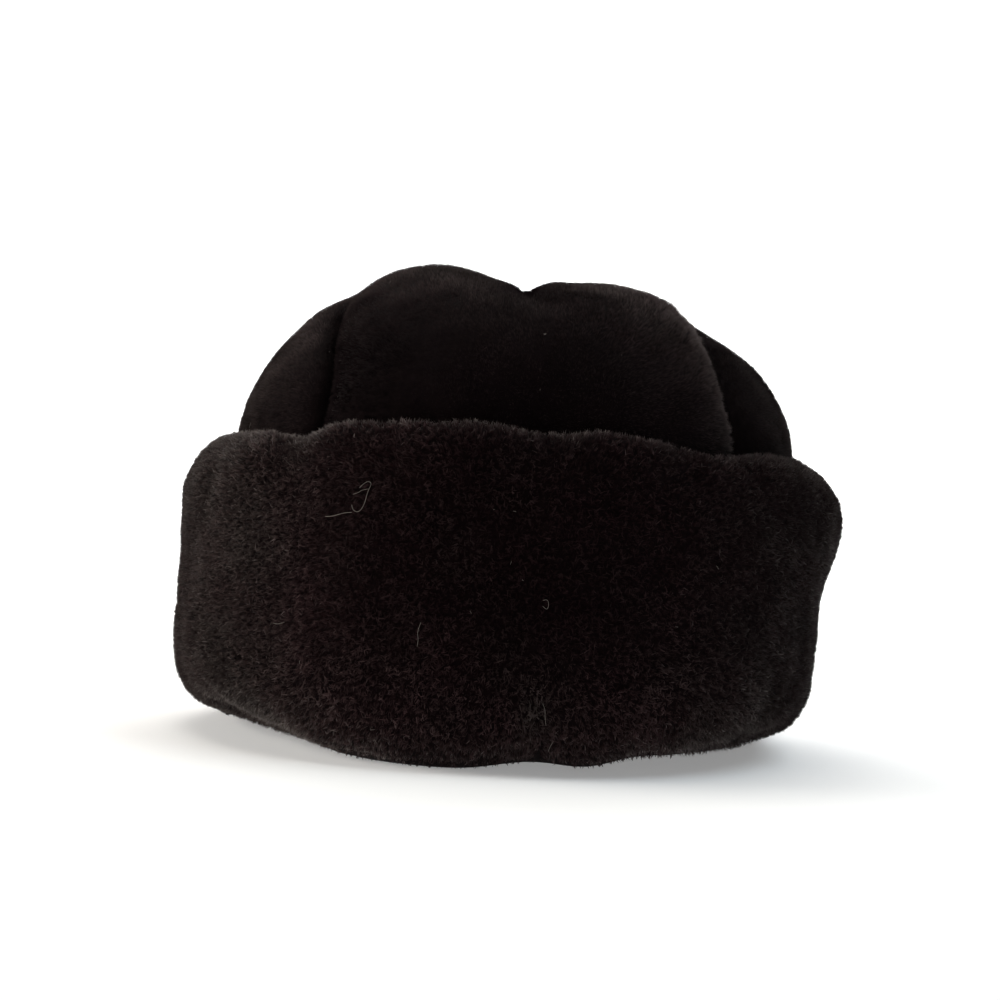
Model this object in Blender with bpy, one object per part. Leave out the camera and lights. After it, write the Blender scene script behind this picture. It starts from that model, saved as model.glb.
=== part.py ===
# Shearling hat: a domed crown of four gores, clipped wool outside, and a deep turned-up cuff.
# Units are metres, +Z is up, and the rim rests on z = 0. The side with the camera's view of it
# faces -Y. A bearing is an angle round the hat, 0 at the front and positive towards +X.

import math
from bisect import bisect_right
from collections import namedtuple

import bmesh
import bpy
from mathutils import Vector

MM = 0.001

# The head opening is an oval. Everything else is set off from it.
HEAD_HALF_WIDTH = 86 * MM
HEAD_HALF_LENGTH = 95 * MM

# The crown's hide is a dome on a short upright wall, with a superellipse for its side view. The
# wall takes up WALL_SHARE of the climb from the crown's foot to its top.
CROWN_FOOT = 40 * MM
DOME_FOOT = 74 * MM
DOME_RISE = 68 * MM
DOME_SQUARENESS = 2.4
WALL_SHARE = 0.17

# Thickness of hide and wool together.
WOOL_UNDER_CUFF = 9.4 * MM
WOOL_AT_SEAM = 4.5 * MM
WOOL_MID_GORE = 11.5 * MM
GORE_SHOULDER = 17 * MM
CUFF_COVERS_TO = 86 * MM
WOOL_FREE_FROM = 103 * MM
WOOL_LUMP = 0.7 * MM

# The cuff's section: offset is outwards from the head oval.
CUFF_HEIGHT = 98 * MM
CUFF_SLOT_OFFSET = 10.0 * MM
CUFF_LIP_OFFSET = 26.5 * MM
CUFF_LIP_HEIGHT = 74 * MM
CUFF_EDGE_OFFSET = 13.5 * MM
CUFF_MOUTH_HEIGHT = 85 * MM
CUFF_WAVY_FROM = 73 * MM
FOLD_OUTER_RISE = 28 * MM
FOLD_INNER_RISE = 9 * MM
REST_INNER_OFFSET = 3 * MM
REST_OUTER_OFFSET = 8 * MM
CUFF_LUMP = 0.8 * MM

SEAM_GAP_SHIFT = 0.28 * MM
STACK_GAP = 0.3 * MM
GORE_COLUMNS = 18
CUFF_STEPS = 88

WOOL_BLACK = (0.012, 0.009, 0.009, 1.0)
WOOL_ROUGHNESS = 0.95

# How a gore's seam leans away from the front or back line of the hat as it climbs. Share is the
# climb from the crown's foot (0) to its top (1). The side gores come to a point at SIDE_TIP_SHARE.
SeamRow = namedtuple("SeamRow", "share left right")
SEAM_BEARINGS = (
    SeamRow(0.00, 38, 45),
    SeamRow(0.36, 38, 46),
    SeamRow(0.54, 50, 53),
    SeamRow(0.68, 70, 69),
    SeamRow(0.82, 83, 83),
    SeamRow(0.90, 90, 90),
    SeamRow(1.00, 90, 90),
)
SIDE_TIP_SHARE = 0.90
CLIMB_SHARES = (
    0.0, 0.09, WALL_SHARE, 0.25, 0.33, 0.40, 0.46, 0.52, 0.58, 0.63,
    0.68, 0.73, 0.78, 0.82, 0.86, SIDE_TIP_SHARE, 0.95, 1.0,
)

# The gores in turn round the hat. Start and end are the seam at each side, middle the bearing that
# the gore faces, tip_share where its tip ends, and pillow its extra fullness in the middle.
GoreRow = namedtuple("GoreRow", "name start end middle tip_share pillow")
GORES = (
    GoreRow("crown_front", ("front", "left"), ("front", "right"), 0, 1.0, 1.6 * MM),
    GoreRow("crown_right", ("front", "right"), ("back", "right"), 90, SIDE_TIP_SHARE, 2.2 * MM),
    GoreRow("crown_back", ("back", "right"), ("back", "left"), 180, 1.0, 1.6 * MM),
    GoreRow("crown_left", ("back", "left"), ("front", "left"), -90, SIDE_TIP_SHARE, 1.0 * MM),
)

# Soft hollows and swellings of the top, in plan. Rise is added to both faces of the wall.
TopRow = namedtuple("TopRow", "name x y spread_x spread_y rise")
TOP_FORMS = (
    TopRow("dimple", 1 * MM, -12 * MM, 13 * MM, 40 * MM, -7.5 * MM),
    TopRow("left_swell", -42 * MM, -20 * MM, 30 * MM, 40 * MM, 7.0 * MM),
    TopRow("right_swell", 42 * MM, -20 * MM, 17 * MM, 40 * MM, 3.6 * MM),
    TopRow("right_slope", 66 * MM, -10 * MM, 13 * MM, 40 * MM, -2.4 * MM),
    TopRow("back_swell", -6 * MM, 52 * MM, 46 * MM, 26 * MM, 1.5 * MM),
)

# The cuff round the hat, in degrees and millimetres. Edge is the rise of its top edge, lip, waist
# and foot the outward set of its face at three heights, and rim the lift of its folded lower edge.
CuffRow = namedtuple("CuffRow", "bearing edge lip waist foot rim")
CUFF_FORM = (
    CuffRow(-172, 0.0, 0.0, -1.0, -0.5, 0.0),
    CuffRow(-140, -2.0, -0.5, -1.5, 0.0, 0.0),
    CuffRow(-112, -2.5, 0.0, -0.5, 0.0, 0.0),
    CuffRow(-86, -5.0, -1.0, -1.5, -0.5, 2.4),
    CuffRow(-62, -2.0, -0.5, -1.0, -0.5, 4.2),
    CuffRow(-45, -1.2, 0.0, -0.5, 0.0, 3.2),
    CuffRow(-34, -4.2, 0.0, -0.2, 0.0, 1.8),
    CuffRow(-27, 2.0, 0.2, 0.0, 0.0, 0.6),
    CuffRow(-14, 0.8, 0.5, 0.0, 0.5, 0.0),
    CuffRow(-7, 2.6, 0.5, 0.5, 1.0, 0.0),
    CuffRow(6, -0.3, 0.0, 0.0, -0.5, 3.4),
    CuffRow(14, 1.6, 0.0, 0.0, 0.5, 1.6),
    CuffRow(23, -0.7, 0.0, -0.5, 0.0, 5.2),
    CuffRow(34, -3.0, 0.0, -1.5, -1.2, 4.8),
    CuffRow(46, -0.7, 0.2, -2.5, -2.8, 5.2),
    CuffRow(62, -1.5, 0.5, -4.5, -5.0, 7.0),
    CuffRow(84, -4.0, 0.0, -7.0, -8.5, 8.0),
    CuffRow(118, -3.0, 0.0, -3.5, -4.0, 1.5),
    CuffRow(150, -2.0, 0.5, -1.5, -1.5, 0.0),
)


def eased(t):
    t = min(max(t, 0.0), 1.0)
    return t * t * (3 - 2 * t)


def mixed(a, b, t):
    return a + (b - a) * t


def slope_at(before, after):
    """The slope at a row between two others, so that a curve through them never overshoots."""
    return 0.0 if before * after <= 0 else 2 * before * after / (before + after)


def read_table(rows, key, column, at):
    """The value of a column, on a smooth curve through its rows, where the key is as given."""
    keys = [getattr(row, key) for row in rows]
    values = [getattr(row, column) for row in rows]
    at = min(max(at, keys[0]), keys[-1])
    i = min(bisect_right(keys, at), len(keys) - 1) - 1
    rises = [(v1 - v0) / (k1 - k0) for k0, k1, v0, v1 in zip(keys, keys[1:], values, values[1:])]
    rises = [0.0] + rises + [0.0]
    span = keys[i + 1] - keys[i]
    t = (at - keys[i]) / span
    leave = slope_at(rises[i], rises[i + 1]) * span
    arrive = slope_at(rises[i + 1], rises[i + 2]) * span
    bow = t * (1 - t) * ((1 - t) * leave - t * arrive)
    return mixed(values[i], values[i + 1], eased(t)) + bow


def read_round(rows, column, bearing):
    """As read_table, for a table that goes once round the hat."""
    first = rows[0]
    turn = (bearing - first.bearing) % 360 + first.bearing
    closed = rows + (first._replace(bearing=first.bearing + 360),)
    return read_table(closed, "bearing", column, turn)


def outward(bearing):
    return Vector((math.sin(bearing), -math.cos(bearing), 0))


def oval_radius(bearing, half_width, half_length):
    return 1 / math.hypot(math.sin(bearing) / half_width, math.cos(bearing) / half_length)


def wool_lump(bearing, height, size):
    """A gentle unevenness of the clipped wool, the same wherever bearing and height are."""
    coarse = math.sin(9 * bearing + 70 * height + 0.8) * math.cos(4 * bearing - 95 * height)
    fine = math.sin(23 * bearing - 160 * height) * math.sin(17 * bearing + 210 * height + 1.3)
    return size * (0.65 * coarse + 0.35 * fine)


def dome_angle(share):
    """The superellipse's angle at a share of the climb, and the height on the wall below it."""
    if share <= WALL_SHARE:
        return 0.0, mixed(CROWN_FOOT, DOME_FOOT, share / WALL_SHARE)
    return (share - WALL_SHARE) / (1 - WALL_SHARE) * math.pi / 2, DOME_FOOT


def hide_point(bearing, share):
    """A point on the crown's inner face, and the outward normal there."""
    power = 2 / DOME_SQUARENESS
    angle, foot = dome_angle(share)
    narrowing = max(math.cos(angle), 0.0) ** power
    lift = math.sin(angle) ** power
    radius = oval_radius(bearing, HEAD_HALF_WIDTH, HEAD_HALF_LENGTH)
    point = outward(bearing) * radius * narrowing + Vector((0, 0, foot + DOME_RISE * lift))
    back_power = 2 - power
    normal = outward(bearing) * math.cos(angle) ** back_power / radius
    normal += Vector((0, 0, math.sin(angle) ** back_power / DOME_RISE))
    return point, normal.normalized()


def clear_of_cuff(height):
    """How far the crown has come out of the cuff at a height, from 0 to 1."""
    return eased((height - CUFF_COVERS_TO) / (WOOL_FREE_FROM - CUFF_COVERS_TO))


def top_rise(point):
    """What the hollows and swellings of the top add to the height of a point."""
    total = 0.0
    for form in TOP_FORMS:
        across = (point.x - form.x) / form.spread_x
        along = (point.y - form.y) / form.spread_y
        total += form.rise * math.exp(-across * across - along * along)
    return total * clear_of_cuff(point.z)


def wool_depth(height, bearing, from_seam, pillow):
    """Wall thickness: thin in the seam's valley, full in the gore, pressed flat under the cuff."""
    reach = min(from_seam / GORE_SHOULDER, 1.0)
    shoulder = math.sqrt(1 - (1 - reach) ** 2)
    free = mixed(WOOL_AT_SEAM, WOOL_MID_GORE, shoulder)
    free += (pillow + wool_lump(bearing, height, WOOL_LUMP)) * shoulder
    pressed = mixed(WOOL_AT_SEAM, WOOL_UNDER_CUFF, shoulder)
    return mixed(pressed, free, clear_of_cuff(height))


def seam_bearing(corner, share):
    """The bearing of one of the four seams. A corner is front or back, and left or right."""
    front_or_back, side = corner
    lean = math.radians(read_table(SEAM_BEARINGS, "share", side, share))
    from_front = lean if front_or_back == "front" else math.pi - lean
    return from_front if side == "right" else -from_front


def new_object(name, mesh_builder, material):
    mesh = bpy.data.meshes.new(name)
    mesh_builder.normal_update()
    mesh_builder.to_mesh(mesh)
    mesh_builder.free()
    mesh.shade_smooth()
    mesh.set_sharp_from_angle(angle=math.radians(50))
    mesh.materials.append(material)
    made = bpy.data.objects.new(name, mesh)
    bpy.context.scene.collection.objects.link(made)
    return made


def wool_material(name):
    material = bpy.data.materials.new(name)
    material.use_nodes = True
    shader = material.node_tree.nodes["Principled BSDF"]
    shader.inputs["Base Color"].default_value = WOOL_BLACK
    shader.inputs["Roughness"].default_value = WOOL_ROUGHNESS
    shader.inputs["Metallic"].default_value = 0.0
    return material


def make_gore(gore, material):
    """One gore: a sheet of hide between two seams, thickened outwards by its wool."""
    shares = [share for share in CLIMB_SHARES if share <= gore.tip_share]
    sheet = bmesh.new()
    bmesh.ops.create_grid(sheet, x_segments=GORE_COLUMNS, y_segments=len(shares) - 1, size=1.0)
    wool_step = sheet.verts.layers.float_vector.new("wool_step")
    for vertex in sheet.verts:
        share = shares[round((vertex.co.y + 1) / 2 * (len(shares) - 1))]
        across = math.sin(vertex.co.x * math.pi / 2)
        start = seam_bearing(gore.start, share)
        end = seam_bearing(gore.end, share)
        if end < start:
            end += 2 * math.pi
        bearing = mixed(start, end, (across + 1) / 2)
        point, normal = hide_point(bearing, share)
        from_seam = (1 - abs(across)) / 2 * (end - start) * math.hypot(point.x, point.y)
        pillow = gore.pillow * (1 - across * across)
        vertex.co = point
        vertex[wool_step] = normal * wool_depth(point.z, bearing, from_seam, pillow)
    hide = list(sheet.faces)
    wool = bmesh.ops.extrude_face_region(sheet, geom=hide, use_keep_orig=True)
    for item in wool["geom"]:
        if isinstance(item, bmesh.types.BMVert):
            item.co += item[wool_step]
    clear = outward(math.radians(gore.middle)) * SEAM_GAP_SHIFT
    for vertex in sheet.verts:
        vertex.co.z += top_rise(vertex.co)
        vertex.co += clear
    bmesh.ops.remove_doubles(sheet, verts=sheet.verts, dist=1e-6)
    bmesh.ops.recalc_face_normals(sheet, faces=sheet.faces)
    return new_object(gore.name, sheet, material)


def arc(centre, radii, start_deg, end_deg, steps):
    """Points of an elliptical arc in the section plane, as offset and height."""
    angles = (math.radians(mixed(start_deg, end_deg, i / steps)) for i in range(steps + 1))
    return [(centre[0] + radii[0] * math.cos(a), centre[1] + radii[1] * math.sin(a)) for a in angles]


def straight(start, end, steps):
    """Points between two others, without the two."""
    shares = [i / steps for i in range(1, steps)]
    return [(mixed(start[0], end[0], share), mixed(start[1], end[1], share)) for share in shares]


def cuff_section():
    """The cuff's closed outline: inner layer, slot for the crown, outer layer, rolled edges."""
    fold_in_radii = (REST_INNER_OFFSET, FOLD_INNER_RISE)
    fold_in = arc(fold_in_radii, fold_in_radii, 270, 180, 3)
    seat_height = CROWN_FOOT - STACK_GAP
    slot = [(0.0, seat_height), (CUFF_SLOT_OFFSET, seat_height)]
    mouth = (CUFF_SLOT_OFFSET, CUFF_MOUTH_HEIGHT)
    slot_wall = straight(slot[1], mouth, 3) + [mouth]
    edge_rise = CUFF_HEIGHT - CUFF_LIP_HEIGHT
    edge_width = CUFF_LIP_OFFSET - CUFF_EDGE_OFFSET
    edge = arc((CUFF_EDGE_OFFSET, CUFF_LIP_HEIGHT), (edge_width, edge_rise), 100, 0, 8)
    foot_width = CUFF_LIP_OFFSET - REST_OUTER_OFFSET
    foot = arc((REST_OUTER_OFFSET, FOLD_OUTER_RISE), (foot_width, FOLD_OUTER_RISE), 0, -90, 7)
    face = straight(edge[-1], foot[0], 5)
    return fold_in + straight(fold_in[-1], slot[0], 2) + slot + slot_wall + edge + face + foot


def outer_face_set(offset, height, bearing_deg):
    """How far the cuff's outer face is set in or out at a height, faded out towards the slot."""
    lip = read_round(CUFF_FORM, "lip", bearing_deg) * MM
    waist = read_round(CUFF_FORM, "waist", bearing_deg) * MM
    foot = read_round(CUFF_FORM, "foot", bearing_deg) * MM
    waist_height = (CUFF_LIP_HEIGHT + FOLD_OUTER_RISE) / 2
    if height > waist_height:
        climb = (height - waist_height) / (CUFF_LIP_HEIGHT - waist_height)
        set_out = mixed(waist, lip, eased(climb))
    else:
        climb = (height - FOLD_OUTER_RISE) / (waist_height - FOLD_OUTER_RISE)
        set_out = mixed(foot, waist, eased(climb))
    faded = eased((offset - REST_OUTER_OFFSET) / (CUFF_LIP_OFFSET - REST_OUTER_OFFSET))
    lump = wool_lump(math.radians(bearing_deg), height, CUFF_LUMP)
    return (set_out + lump) * faded


def cuff_point(offset, height, bearing):
    """Where a point of the section lies at a bearing."""
    bearing_deg = math.degrees(bearing)
    edge_rise = read_round(CUFF_FORM, "edge", bearing_deg) * MM
    rim_lift = read_round(CUFF_FORM, "rim", bearing_deg) * MM
    height_out = height + edge_rise * eased((height - CUFF_WAVY_FROM) / (CUFF_HEIGHT - CUFF_WAVY_FROM))
    height_out += rim_lift * eased(1 - height / FOLD_OUTER_RISE)
    offset_out = offset + outer_face_set(offset, height, bearing_deg)
    radius = oval_radius(bearing, HEAD_HALF_WIDTH, HEAD_HALF_LENGTH)
    normal = Vector((
        math.sin(bearing) / HEAD_HALF_WIDTH**2,
        -math.cos(bearing) / HEAD_HALF_LENGTH**2,
        0,
    )).normalized()
    return outward(bearing) * radius + normal * offset_out + Vector((0, 0, height_out))


def make_cuff(material):
    """The cuff: its section spun round the hat, then shaped to the oval and its own unevenness."""
    ring = bmesh.new()
    section = cuff_section()
    corners = [ring.verts.new((0, -(1 + offset), height)) for offset, height in section]
    edges = [ring.edges.new(pair) for pair in zip(corners, corners[1:] + corners[:1])]
    bmesh.ops.spin(
        ring,
        geom=corners + edges,
        axis=(0, 0, 1),
        cent=(0, 0, 0),
        angle=2 * math.pi,
        steps=CUFF_STEPS,
        use_merge=True,
    )
    for vertex in ring.verts:
        bearing = math.atan2(vertex.co.x, -vertex.co.y)
        offset = math.hypot(vertex.co.x, vertex.co.y) - 1
        vertex.co = cuff_point(offset, vertex.co.z, bearing)
    bmesh.ops.recalc_face_normals(ring, faces=ring.faces)
    return new_object("cuff", ring, material)


def centre_in_plan(pieces):
    """Move the pieces so that the middle of their common box lies over the origin."""
    points = [vertex.co for piece in pieces for vertex in piece.data.vertices]
    middle_x = (min(p.x for p in points) + max(p.x for p in points)) / 2
    middle_y = (min(p.y for p in points) + max(p.y for p in points)) / 2
    for point in points:
        point.x -= middle_x
        point.y -= middle_y


def main():
    for old in list(bpy.data.objects):
        bpy.data.objects.remove(old)
    crown_wool = wool_material("crown_wool")
    cuff_wool = wool_material("cuff_wool")
    pieces = [make_gore(gore, crown_wool) for gore in GORES]
    pieces.append(make_cuff(cuff_wool))
    centre_in_plan(pieces)


main()
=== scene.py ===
# A dressed shearling hat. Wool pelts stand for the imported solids, and carry a clipped, crimped pile.
import math
from collections import namedtuple

import bpy
import numpy as np
from mathutils import Matrix, Vector, kdtree
from mathutils.bvhtree import BVHTree


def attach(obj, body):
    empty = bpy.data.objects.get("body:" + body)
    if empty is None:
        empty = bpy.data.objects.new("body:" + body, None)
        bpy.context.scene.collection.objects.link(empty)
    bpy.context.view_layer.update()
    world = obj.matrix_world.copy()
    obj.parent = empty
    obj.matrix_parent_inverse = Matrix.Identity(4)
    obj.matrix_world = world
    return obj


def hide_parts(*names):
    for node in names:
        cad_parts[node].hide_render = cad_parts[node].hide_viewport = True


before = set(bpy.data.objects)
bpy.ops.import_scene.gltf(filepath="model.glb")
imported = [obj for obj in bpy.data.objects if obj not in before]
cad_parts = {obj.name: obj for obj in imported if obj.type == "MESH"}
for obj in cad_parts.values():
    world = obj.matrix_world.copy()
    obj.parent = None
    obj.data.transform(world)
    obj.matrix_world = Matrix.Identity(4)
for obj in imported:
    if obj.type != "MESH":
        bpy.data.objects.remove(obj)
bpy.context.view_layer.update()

MM = 0.001

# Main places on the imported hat
HEAD_HALF_WIDTH = 86 * MM
HEAD_HALF_LENGTH = 95 * MM
CUFF_WOOL_FROM = 9 * MM
CUFF_WOOL_FADE = 4 * MM
CUFF_TOP_ROLL_FROM = 70 * MM
CROWN_WOOL_FROM = 84 * MM
CROWN_WOOL_FADE = 3 * MM
CROWN_SHOULDER = 100 * MM
DOME_MIDDLE = np.array([0, 0, 60 * MM])
CROWN_NODES = ("crown_front", "crown_right", "crown_back", "crown_left")
LEVEL = np.array([1, 1, 0])

# How far the wall and the dome face outward, and the cuff's top roll upward, where the wool starts
WALL_FACING = (-0.2, 0.2)
ROLL_FACING = (0.2, 0.6)
DOME_FACING = (0.05, 0.35)

# The cuff's own join, where the wool parts at the front of the fold and painted shade darkens the parting
JOIN_X = 11 * MM
JOIN_HEIGHT = 18 * MM
JOIN_SPREAD = 3.2 * MM
JOIN_LEAN = 1.5
JOIN_DARK = 0.45

# A short crease in the front gore's shoulder, between the crown's two humps, from back to front, with
# painted shade in its hollow
CREASE_DEPTH = 2.3 * MM
CREASE_WIDTH = 2.6 * MM
CREASE_LIP = 1.3 * MM
CREASE_LIP_AWAY = 3.4
CREASE_LIP_SPREAD = 1.9
CREASE_WIDENING = 2.2
CREASE_ENDS = (-4 * MM, -84 * MM)
CREASE_DEEPEST = (-34 * MM, -52 * MM)
CREASE_X = 0.5 * MM
CREASE_TURN = 7 * MM
CREASE_FINE_X = 3 * MM
CREASE_FINE_REACH = 13 * MM
CREASE_DARK = 0.90
CREASE_DARK_WIDTH = 3 * CREASE_WIDTH

# The band of paler wool along the front gore's right edge, painted light where the edge catches the lamps:
# its x at one height, its lean and its width
BAND_X = 53 * MM
BAND_HEIGHT = 136 * MM
BAND_LEAN = 0.39
BAND_WIDTH = 11 * MM
BAND_SHARE = 0.8
BAND_INNER_SHARE = 0.25
EDGE_DEPTH = (0.02, 0.5)
EDGE_FROM = (20 * MM, 34 * MM)
EDGE_LIGHT = 0.38
SEAM_REACH = (1 * MM, 9 * MM)
# How dark the painted shade in the seams' valleys is
SEAM_DARK = 0.40

# How far the fold's outer edge stands off the floor at the two front corners, and at which bearing
CORNER_LIFT = 5.6 * MM
CORNER_HEIGHT = 24 * MM
CORNER_RISE = (3 * MM, 11 * MM)
CORNER_WAVE = 0.35
CORNER_WAVE_LONG = 13 * MM
CORNER_BEARING = math.radians(56)
CORNER_SPREAD = math.radians(19)
CORNER_WOOL_REACH = 2.5
CORNER_WOOL_TURN = 0.75
CORNER_WOOL_IN = 7 * MM

# Painted light and shade on the wool: stretches painted paler where the lamps and the floor's bounce light
# the hat, and darker where one part shades another; by how much, and between which places each fades in, in
# mm
Ramp = namedtuple("Ramp", "way start end")
Shade = namedtuple("Shade", "node light ramps")
PAINTED_SHADES = (
    Shade("cuff", 0.95, (Ramp("aside", 90, 40), Ramp("z", 48, 4))),
    Shade("cuff", 0.30, (Ramp("z", 86, 97),)),
    Shade("cuff", 0.0825, (Ramp("x", -42, -68),)),
    Shade("cuff", 0.4675, (Ramp("x", -42, -68), Ramp("z", 2, 26))),
    Shade("cuff", -0.32, (Ramp("x", -88, -106),)),
    Shade("cuff", 0.35, (Ramp("x", 25, 60), Ramp("x", 95, 70), Ramp("z", 70, 25))),
    Shade("crown_right", -0.16, ()),
    Shade("crown_left", -0.06, ()),
    Shade("crown_front", -0.50, (Ramp("x", 0, -36), Ramp("z", 150, 138))),
    Shade("crown_front", 0.75, (Ramp("x", 10, 45), Ramp("z", 118, 136))),
    Shade("crown_front", 0.22, (Ramp("z", 122, 142),)),
)

# Pale spots, each by its middle and reach in x and z and by how far back it goes, in mm:
# the tuft beside the cuff's join, and a patch of painted light on the left gore beside its front seam,
# where that gore faces the left lamp
Spot = namedtuple("Spot", "node light brown middle reach back")
SPOTS = (
    Spot("cuff", 2.0, -0.6, (8.0, 18.5), (4.2, 7), 0),
    Spot("crown_left", 0.85, 0, (-68, 130), (6, 6), 10),
)

# Steady clouds over the wool, by how much, how large and from which seed
Cloud = namedtuple("Cloud", "amount size seed")
LIGHT_CLOUD = Cloud(0.18, 10 * MM, 57)
SIDE_CLOUD = Cloud(0.22, 6 * MM, 59)
STRAND_CLOUD = Cloud(0.50, 1.1 * MM, 58)
BROWN_CLOUD = Cloud(0.35, 15 * MM, 67)
LENGTH_CLOUD = Cloud(0.10, 7 * MM, 91)
WAVE_CLOUD = Cloud(CORNER_WAVE, CORNER_WAVE_LONG, 83)

# The tone of the strands, before the painted shades and spots. At the hat's sides it is calmer, and less
# brown as painted light for the neutral light and sheen that the sides catch.
SIDES_FROM = (40 * MM, 90 * MM)
LIGHT_MIDDLE = 0.565
LIGHT_LEAST = 0.04
LIGHT_RANGE = (0.01, 2.4)
CONTRAST = 1.15
TUFT_CONTRAST = 0.85
STRAY_CONTRAST = 0.06
SIDE_CALM = 0.7
BROWN_MIDDLE = 0.65
BROWN_TUFTS = 0.25
BROWN_ASIDE = 0.5
BROWN_RIM = 0.3
RIM_BROWN_FROM = (9 * MM, 1 * MM)

# How the wool lies: broad and fine swirls, its lean into a seam, and the locks along the band's edge
SWIRL_SIZE = 12 * MM
SWIRL_SEED = 31
FINE_SWIRL_SIZE = 4.5 * MM
FINE_SWIRL_SEED = 71
FINE_SWIRL = 0.6
SEAM_LEAN = 0.9
LOCK_SIZE = 3.4 * MM
LOCK_DRAW = 1.6 * MM
LOCK_SEED = 25
TUFT_SEED = 5

# How strands grow: how deep their roots go, how their lengths and widths vary, and how curls bend
ROOT_DEPTH = 0.4 * MM
FLOOR_CLEARANCE = 0.05 * MM
LENGTH_MIDDLE = 0.92
LENGTH_TUFTS = 0.22
LENGTH_STRAY = 0.07
LENGTH_SEAM = 0.25
LENGTH_EDGE = 0.35
LENGTH_LOCKS = 0.8
LENGTH_RIM = 0.4
RIM_SHORT_FROM = (9 * MM, 2 * MM)
HALF_WIDTHS = (0.35, 0.65)
CURL_SPREAD = 2.0
CURL_BEND = 0.7
CURL_KNEE = 0.6
CURL_SPAN = 0.96
KNEE_BOW = 0.5
TIP_BOW = 0.7
# Curls painted lighter, as painted highlights on the crimped fibres
CURL_LIGHT = 0.2

# How far the shading of a strand follows its tuft, its lean and chance, and not only the pelt
SOFT_TUFT = 0.9
SOFT_LEAN = 0.35
SOFT_STRAY = 0.4

# How a pelt's skin lies under its wool, and how lumpy it is
Skin = namedtuple("Skin", "inset lump wide fine")
CUFF_SKIN = Skin(1.7 * MM, 0.50 * MM, 8 * MM, 3.4 * MM)
CROWN_SKIN = Skin(0.8 * MM, 0.22 * MM, 11 * MM, 4 * MM)
FINE_LUMP = 0.6
LUMP_SEEDS = (3, 9)
BARE_BELOW = 0.15

# A fleece is the wool's own measures: hairs and curls per mm2, then lengths and widths in mm
Fleece = namedtuple(
    "Fleece", "hairs curls length width curl_length curl_width tuft gather swirl lay spread grain")
CUFF_FLEECE = Fleece(3.4, 1.6, 2.6, 0.42, 2.4, 0.38, 1.6, 0.80, 0.32, 0.13, 0.21, 1.0)
CROWN_FLEECE = Fleece(5.8, 0.10, 2.05, 0.27, 2.2, 0.22, 1.4, 0.30, 0.30, 0.30, 0.13, 0.24)

# Each pile covers one stretch of one pelt. On the cuff it is the quarter that faces one way.
Pile = namedtuple("Pile", "name node facing seed")
PILES = (
    Pile("cuff_wool_front", "cuff", (0, -1), 11),
    Pile("cuff_wool_right", "cuff", (1, 0), 12),
    Pile("cuff_wool_back", "cuff", (0, 1), 13),
    Pile("cuff_wool_left", "cuff", (-1, 0), 14),
    Pile("crown_wool_front", "crown_front", None, 15),
    Pile("crown_wool_right", "crown_right", None, 16),
    Pile("crown_wool_back", "crown_back", None, 17),
    Pile("crown_wool_left", "crown_left", None, 18),
)

# Lint in the wool, each thread by its radius in mm and the places of the picture that it passes
PICTURE_SIZE = 1000
LINT_HEIGHT = 2.5 * MM
LINT_SEED = 71
Thread = namedtuple("Thread", "radius places")
THREADS = (
    Thread(0.065, ((331, 517), (337, 517), (344, 515), (350, 513), (356, 513))),
    Thread(0.065, ((356, 506), (357, 510), (361, 513), (366, 510), (369, 502), (372, 492), (376, 486),
                   (372, 483), (367, 486), (364, 489))),
    Thread(0.05, ((358, 495), (362, 494), (366, 491), (372, 490))),
    Thread(0.05, ((424, 622), (420, 630), (422, 640), (421, 646))),
    Thread(0.05, ((543, 600), (547, 598), (549, 604), (546, 611), (542, 606))),
    Thread(0.05, ((541, 701), (544, 708), (543, 714), (545, 721))),
    Thread(0.07, ((551, 736), (548, 740), (547, 745))),
    Thread(0.05, ((280, 623), (285, 625), (292, 622))),
    Thread(0.11, ((543, 341), (544, 342), (545, 341))),
)
SPECKS = 90

# Colours are linear. A pile's are its strands' roots, dark as painted shade deep in the pile, their tips,
# and their tips where the wool is brown.
Dye = namedtuple("Dye", "root tip brown_tip sheen mottled")
CROWN_DYE = Dye((0.0056, 0.0040, 0.0044, 1), (0.0390, 0.0302, 0.0290, 1),
                (0.0425, 0.0275, 0.0282, 1), 0.09, 0.5)
CUFF_DYE = Dye((0.0062, 0.0029, 0.0034, 1), (0.0245, 0.0188, 0.0176, 1),
               (0.0270, 0.0142, 0.0152, 1), 0.14, 0.7)
Leather = namedtuple("Leather", "dark pale roughness patch_scale fleck_scale bump")
UNDER_WOOL = Leather((0.0040, 0.0021, 0.0024, 1), (0.0060, 0.0033, 0.0036, 1), 0.85, 90, 700, 0.4)
HIDE = Leather((0.010, 0.0065, 0.006, 1), (0.016, 0.011, 0.010, 1), 0.8, 45, 900, 0.5)
FLUFF = ((0.06, 0.050, 0.044, 1), (0.20, 0.175, 0.155, 1))
WHITE = (1, 1, 1)
WARM = (1, 0.95, 0.87)
COOL = (0.84, 0.94, 1)

# Soft square lamps: where each stands and what it points at, in metres, its watts, its side and its colour
Lamp = namedtuple("Lamp", "name place aim power size colour")
LAMPS = (
    Lamp("left", (-1.1, -0.10, 0.22), (0, 0, 0.05), 16.5, 0.7, WARM),
    Lamp("above", (-0.1, 0.15, 1.25), (0, 0, 0.08), 7, 1.0, WARM),
    Lamp("right", (0.65, -0.25, 1.00), (0, 0, 0.08), 5, 0.7, COOL),
    Lamp("low front", (0.1, -1.2, 0.10), (0, 0, 0.03), 2.2, 0.8, WHITE),
    Lamp("backdrop", (0, 0.7, 1.2), (0, 1.7, 0.35), 26, 1.2, WHITE),
)

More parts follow.
